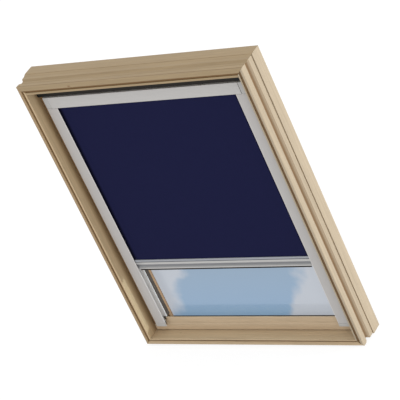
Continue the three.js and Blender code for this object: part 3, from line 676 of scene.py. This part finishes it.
def addCassette():
    # a front cover with a rounded lower edge, and an end cap at each end, whose outline shrinks
    # towards its middle by the cap's ease at both faces
    c = cassette
    low, high = boxOf("cassette_front")
    bottom, top = low[2], high[2]
    face, sheetBack, sheetTop = c["face"], c["face"] + c["sheet"], bottom + c["sheet"]
    outline = [
        (face, bottom), (c["return"], bottom), (c["return"], sheetTop), (sheetBack, sheetTop),
        (sheetBack, top), (face, top),
    ]
    radii = [1.5, 0.4, 0.4, 0.4, 0.4, 0.8]
    outline = easedOutline(outline, radii)
    cover = alongX(outline, low[0] + c["seam"], high[0] - c["seam"])
    addSwept("cassette_front_cover", cover, "sash", lightAluminium, ["cassette_front"])
    for name, side in sides:
        low, high = boxOf(f"cassette_cap_{name}")
        inner, outer = sorted(np.abs([low[0], high[0]]))
        face, back, ease = c["face"], c["back"], c["capEase"]
        corners = [(face, bottom), (back, bottom), (back, top), (face, top)]
        outline = easedOutline(corners, c["capRound"])
        middle = np.array([face + back, bottom + top]) / 2
        reach = np.array([back - face, top - bottom]) / 2
        shrunk = middle + (outline - middle) * (1 - ease / reach)
        rings = [
            alongX(shrunk, side * inner, 0)[0],
            *alongX(outline, side * (inner + ease), side * (outer - ease)),
            alongX(shrunk, side * outer, 0)[0],
        ]
        addSwept(f"cassette_end_{name}", rings, "sash", greyPlastic, [f"cassette_cap_{name}"])


addCassette()
print("cassette made")


rails = {
    "outer": 344, "inner": 307, "ledge": 302.4, "sheet": 1.6, "face": 33, "back": 51, "lip": 2.4,
    "sealFace": 301.1, "sealWall": 304.4, "sealStep": 60.8, "sealBack": 64, "sealRest": 301.85,
    "ribs": 5, "ribHeight": 0.7,
    # painted shade in part: the dark rubber buffer also stands for the shade at the foot of the
    # slot
    "footTop": 78.6, "footInner": 316, "buffer": (307.6, 315.6, 46.7, 50.8, 68.5, 78.2),
    "endPlate": (307.2, 343.8, 32.3, 32.95, 51.5, 62.5),
}


def addRails():
    # channel with a rounded front edge and a small lip on the inner ledge, and a ribbed seal
    # behind; ledge and seal stop above the sash's lip, on a buffer, and a thin plate closes the
    # lower end
    r = rails
    slotFace, slotBack = r["face"] + r["sheet"], r["back"] - r["sheet"]
    web = r["outer"] - r["sheet"]
    channel = [
        (r["outer"], r["face"]), (r["outer"], r["back"]), (r["ledge"], r["back"]),
        (r["ledge"], slotBack - r["lip"]), (r["ledge"] + r["sheet"], slotBack - r["lip"]),
        (r["ledge"] + r["sheet"], slotBack), (web, slotBack), (web, slotFace),
        (r["inner"], slotFace), (r["inner"], r["face"]), (r["inner"] + 2.5, r["face"]),
    ]
    radii = [1, 0.5, 1.2, 0.7, 0.7, 0.4, 0.4, 0.4, 0.7, 1.5, 0]
    # painted light: inside the slot the colour moves towards the rail's lighter second tone, and
    # its front edge gets a painted highlight, to stand for light in the shaded channel
    inside = [0, 0, 0.4, 0.7, 0.8, 1, 1, 1, 0.9, 0.7, 0]
    channel, paintedLightAndShade = easedOutline(channel, radii, 5, inside)
    # below the ledge's end its points lie along the back sheet's own edge
    foot = channel.copy()
    ledge = (channel[:, 0] < r["footInner"]) & (channel[:, 1] > slotFace + 1)
    foot[ledge, 0] = r["footInner"]
    foot[ledge, 1] = np.linspace(r["back"], slotBack, ledge.sum())
    # ribs on the side towards the pane: face - height * |sin(pi * ribs * place)|; behind them the
    # seal wraps on to the stile
    start, end = r["back"] + 0.2, r["sealBack"]
    place = np.linspace(0, 1, 8 * r["ribs"] + 1)
    rib = np.column_stack([
        r["sealFace"] - r["ribHeight"] * np.abs(np.sin(pi * r["ribs"] * place)),
        start + (end - start) * place,
    ])
    rest, step = r["sealRest"], r["sealStep"]
    wall = r["sealWall"]
    seal = np.vstack([rib, [(rest, end), (rest, step), (wall, step), (wall, start)]])
    for name, side in sides:
        low, high = boxOf(f"side_rail_{name}")
        rings = [
            *alongZ(foot, low[2], r["footTop"] - 0.2, side),
            *alongZ(channel, r["footTop"], high[2], side),
        ]
        addSwept(f"side_rail_channel_{name}", rings, "sash", railAluminium,
                 [f"side_rail_{name}"], paintedLightAndShade)
        addSwept(f"rail_ribbed_seal_{name}", alongZ(seal, r["footTop"], high[2], side), "sash",
                 ribbedRubber, [f"rail_seal_{name}"])
        for piece, ease, finish in (("buffer", 0.5, ribbedRubber), ("endPlate", 0.2, greyPlastic)):
            x0, x1, y0, y1, z0, z1 = r[piece]
            block = easedOutline([(x0, y0), (x1, y0), (x1, y1), (x0, y1)], ease)
            label = {"buffer": "rail_buffer", "endPlate": "rail_end_plate"}[piece]
            addSwept(f"{label}_{name}", alongZ(block, z0, z1, side), "sash", finish)


addRails()
print("rails made")


bar = {
    "edge": 36.9, "back": 46.3, "bulge": 1.4, "gripPlace": 4.1, "gripHeight": 13, "gripDepth": 3.4,
    "lowerBulge": 0.8, "drop": 0.6, "lift": 1.4, "ledge": 8.2, "stripHeight": 7.2, "upstand": 40.1,
    "shadedFrom": 7, "shadedTo": 44, "shade": 0.6,
    "sealFace": 36.3, "sealBack": 43.5, "sealHeight": 4.9, "sealEnd": 16,
}


def halfEllipse(depth, middle, reach, half, steps=17):
    # an arc (depth + reach cos a, middle + half sin a) from the top of its span to the bottom,
    # which bulges by reach towards the room
    angle = np.linspace(pi / 2, 3 * pi / 2, steps)
    return np.column_stack([depth + reach * np.cos(angle), middle + half * np.sin(angle)])


def addBottomBar():
    # the grip profile: upper bead, hollow grip, lower bead; and the strip that clamps the cloth
    b = bar
    low, high = boxOf("bottom_bar")
    bottom, top = low[2] + b["lift"], high[2] - b["drop"]
    ledge = top - b["ledge"]
    gripLow = bottom + b["gripPlace"]
    gripHigh = gripLow + b["gripHeight"]
    upper = halfEllipse(b["edge"], (ledge + gripHigh) / 2, b["bulge"], (ledge - gripHigh) / 2)
    grip = halfEllipse(b["edge"], (gripLow + gripHigh) / 2, -b["gripDepth"], b["gripHeight"] / 2)
    lower = halfEllipse(b["edge"], (bottom + gripLow) / 2, b["lowerBulge"], b["gripPlace"] / 2)
    back, upstand = b["back"], b["upstand"]
    rest = np.array([(back, bottom), (back, top), (upstand, top), (upstand, ledge)])
    outline = np.vstack([rest, upper, grip[1:], lower[1:]])
    # painted shade grows with the depth in the grip, is full on the ledge behind the strip, and
    # gathers towards the left end
    within = np.clip((outline[:, 0] - b["edge"]) / b["gripDepth"], 0, 1)
    within *= (outline[:, 1] > gripLow) & (outline[:, 1] < gripHigh)
    within[outline[:, 1] > ledge - 0.6] = 1
    rings = [*alongX(outline, low[0], low[0] + b["shadedFrom"]),
             *alongX(outline, low[0] + b["shadedTo"], high[0])]
    shaded = np.maximum(within, b["shade"])
    addSwept("bottom_bar_profile", rings, "bottom_bar", barAluminium, ["bottom_bar"],
             np.concatenate([shaded, shaded, within, within]))
    face, back = b["sealFace"], b["sealBack"]
    seal = easedOutline([
        (face, bottom - b["sealHeight"]), (back, bottom - 1.5),
        (back, bottom - 0.1), (face, bottom - 0.1),
    ], [1.2, 0.3, 0.2, 0.2])
    seal = alongX(seal, low[0] + b["sealEnd"], high[0] - b["sealEnd"])
    addSwept("bar_lip_seal", seal, "bottom_bar", rubber, ["bar_seal"])
    low, high = boxOf("bar_clamp_strip")
    top, foot = high[2] - b["drop"], high[2] - b["drop"] - b["stripHeight"]
    front, back = low[1] - roomFace / mm, high[1] - roomFace / mm
    strip = [(front, foot), (back, foot), (back, top), (front, top)]
    strip = alongX(easedOutline(strip, [1.2, 0.3, 0.3, 1.2]), low[0], high[0])
    addSwept("bar_cloth_clamp", strip, "bottom_bar", clampAluminium, ["bar_clamp_strip"])


addBottomBar()
print("bottom bar made")


# the bar and its dark caps reach to 359 mm, nearly to the frame, so that they also fill the shaded
# corners beside the frame: partly painted shade
ventBar = {
    "round": 3.1, "trim": 0.8, "half": 359, "capLength": 36, "capProud": 0.3,
    "capEase": (0.4, 0.9), "capShrink": 0.8,
}


def addVentBar():
    # a slab with round edges, and at each end a moulded cap whose outline grows away from its
    # middle to sit over the slab, and shrinks again at its end
    v = ventBar
    low, high = boxOf("vent_bar")
    low[2] += v["trim"]
    y0, y1 = low[1] - roomFace / mm, high[1] - roomFace / mm
    corners = [(y0, low[2]), (y1, low[2]), (y1, high[2]), (y0, high[2])]
    outline = easedOutline(corners, v["round"], 7)
    outer = v["half"]
    seam = outer - v["capLength"]
    addSwept("vent_bar_profile", alongX(outline, -seam, seam), "vent_bar", darkBar, ["vent_bar"])
    middle = np.array([(y0 + y1) / 2, (low[2] + high[2]) / 2])
    reach = np.array([(y1 - y0) / 2, (high[2] - low[2]) / 2])
    proud = middle + (outline - middle) * (1 + v["capProud"] / reach)
    small = middle + (outline - middle) * (1 - v["capShrink"] / reach)
    easeIn, easeOut = v["capEase"]
    for name, side in sides:
        rings = [
            alongX(outline, side * seam, side * seam)[0],
            *alongX(proud, side * (seam + easeIn), side * (outer - easeOut)),
            alongX(small, side * outer, side * outer)[0],
        ]
        addSwept(f"vent_bar_end_{name}", rings, "vent_bar", blackPlastic, [f"vent_bar_cap_{name}"])


addVentBar()
print("ventilation bar made")


cloth = {"width": 636, "plane": 39.7, "columns": 60, "waver": (0.03, 21, 0.02, 7.3)}


def addCloth():
    # a taut sheet with two rows of points, one at the roller and one in the bottom bar, so that it
    # stays flat while the bar slides; its depth wavers by
    # size * sin(x / length) + smallSize * sin(x / smallLength)
    c = cloth
    size, length, smallSize, smallLength = c["waver"]
    low, high = boxOf("blind_fabric")
    x = np.linspace(-c["width"] / 2, c["width"] / 2, c["columns"])
    waver = size * np.sin(x / length) + smallSize * np.sin(x / smallLength)
    y = roomFace / mm + c["plane"] + waver
    top = np.column_stack([x, y, np.full_like(x, high[2])])
    bottom = np.column_stack([x, y, np.full_like(x, low[2])])
    vertices = np.vstack([top, bottom]) * mm
    i = np.arange(c["columns"] - 1)
    quads = np.column_stack([i, i + c["columns"], i + c["columns"] + 1, i + 1])
    mesh = bpy.data.meshes.new("blackout_cloth")
    mesh.from_pydata(vertices.tolist(), [], quads.tolist())
    mesh.polygons.foreach_set("use_smooth", np.ones(len(quads), bool))
    mesh.materials.append(blackoutCloth)
    sheet = bpy.data.objects.new("blackout_cloth", mesh)
    bpy.context.scene.collection.objects.link(sheet)
    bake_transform(sheet)
    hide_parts("blind_fabric")
    return sheet


roll = {"inner": 9.25, "thickness": 0.36, "pitch": 0.44, "turns": 3.9, "steps": 36}


def addRoll():
    # the cloth wound on the roller: its radius is inner + pitch * angle / (2 pi), and the outer
    # face lies one thickness above the inner one
    r = roll
    low, high = boxOf("wound_fabric")
    axis = (low + high) / 2
    angle = np.linspace(0, 2 * pi * r["turns"], int(r["turns"] * r["steps"]))
    inner = r["inner"] + r["pitch"] * angle / (2 * pi)
    around = np.column_stack([np.cos(angle), np.sin(angle)])
    outer = inner + r["thickness"]
    outline = np.vstack([around * inner[:, None], (around * outer[:, None])[::-1]])
    outline += [axis[1] - roomFace / mm, axis[2]]
    piece = addSwept("rolled_cloth", alongX(outline, low[0], high[0]), "roller", blackoutCloth,
                     ["wound_fabric"])


addCloth()
addRoll()
print("cloth made")


finishes = {
    pineSashStile: ["sash_left_stile", "sash_right_stile"],
    rubber: ["frame_weather_gasket"],
    skyGlass: ["inner_pane", "outer_pane"],
    coverSheet: [f"{part}_cover_{side}" for part in ("frame", "sash")
                 for side in ("bottom", "top", "left", "right")],
    zincSteel: ["pane_spacer", "vent_bar_rod", "spring_cartridge",
                *[f"{piece}_{side}" for side in ("left", "right")
                  for piece in ("frame_hinge_plate", "sash_hinge_plate", "pivot_pin")],
                *[f"rail_screw_{side}_{level}" for side in ("left", "right")
                  for level in ("lower", "middle", "upper")]],
    lightAluminium: ["cassette_shell", "roller_tube"],
    blackPlastic: [f"{piece}_{side}" for side in ("left", "right")
                   for piece in ("vent_bar_bracket", "roller_plug", "rail_plug", "bar_glide")],
}
for material, nodes in finishes.items():
    for name in nodes:
        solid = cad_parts[name]
        solid.data.materials.clear()
        solid.data.materials.append(material)
print("solids finished")


floorLook = {"half": 12, "height": -0.0004, "colour": "#F2F2F2", "own": 0.85, "lit": 0.2}


def addFloor():
    # a pale floor: rays from the camera see it near white and keep its soft shadow
    half, height = floorLook["half"], floorLook["height"]
    mesh = bpy.data.meshes.new("floor")
    corners = [(-half, -half), (half, -half), (half, half), (-half, half)]
    mesh.from_pydata([(x, y, height) for x, y in corners], [], [(0, 1, 2, 3)])
    floor = bpy.data.objects.new("floor", mesh)
    bpy.context.scene.collection.objects.link(floor)
    material, tree = newMaterial("paleFloor")
    rays = addNode(tree, "LightPath").outputs
    sharp = addNode(tree, "Math", {0: rays["Is Camera Ray"], 1: rays["Is Glossy Ray"]},
                    operation="MAXIMUM").outputs[0]
    seen = addNode(tree, "Math", {0: sharp, 1: rays["Is Transmission Ray"]},
                   operation="MAXIMUM").outputs[0]
    plain = addNode(tree, "BsdfDiffuse", {"Color": linear(floorLook["colour"])}).outputs[0]
    lit = addNode(tree, "BsdfDiffuse", {"Color": (floorLook["lit"],) * 3 + (1,)}).outputs[0]
    own = addNode(tree, "Emission", {"Strength": floorLook["own"]}).outputs[0]
    white = addNode(tree, "AddShader", {0: lit, 1: own}).outputs[0]
    closeMaterial(tree, addNode(tree, "MixShader", {0: seen, 1: plain, 2: white}).outputs[0])
    mesh.materials.append(material)


def setWorld():
    # even white light from all round, and plain white where a ray meets no object
    world = bpy.data.worlds.new("surroundings")
    bpy.context.scene.world = world
    world.use_nodes = True
    tree = world.node_tree
    tree.nodes.clear()
    rays = addNode(tree, "LightPath").outputs
    sharp = addNode(tree, "Math", {0: rays["Is Camera Ray"], 1: rays["Is Glossy Ray"]},
                    operation="MAXIMUM").outputs[0]
    seen = addNode(tree, "Math", {0: sharp, 1: rays["Is Transmission Ray"]},
                   operation="MAXIMUM").outputs[0]
    even = addNode(tree, "Background", {
        "Color": (1, 1, 1, 1), "Strength": light["ambient"],
    }).outputs[0]
    white = addNode(tree, "Background", {"Color": (1, 1, 1, 1), "Strength": 1.0}).outputs[0]
    mixed = addNode(tree, "MixShader", {0: seen, 1: even, 2: white}).outputs[0]
    addNode(tree, "OutputWorld", {"Surface": mixed})


addFloor()
setWorld()
print("floor and light made")
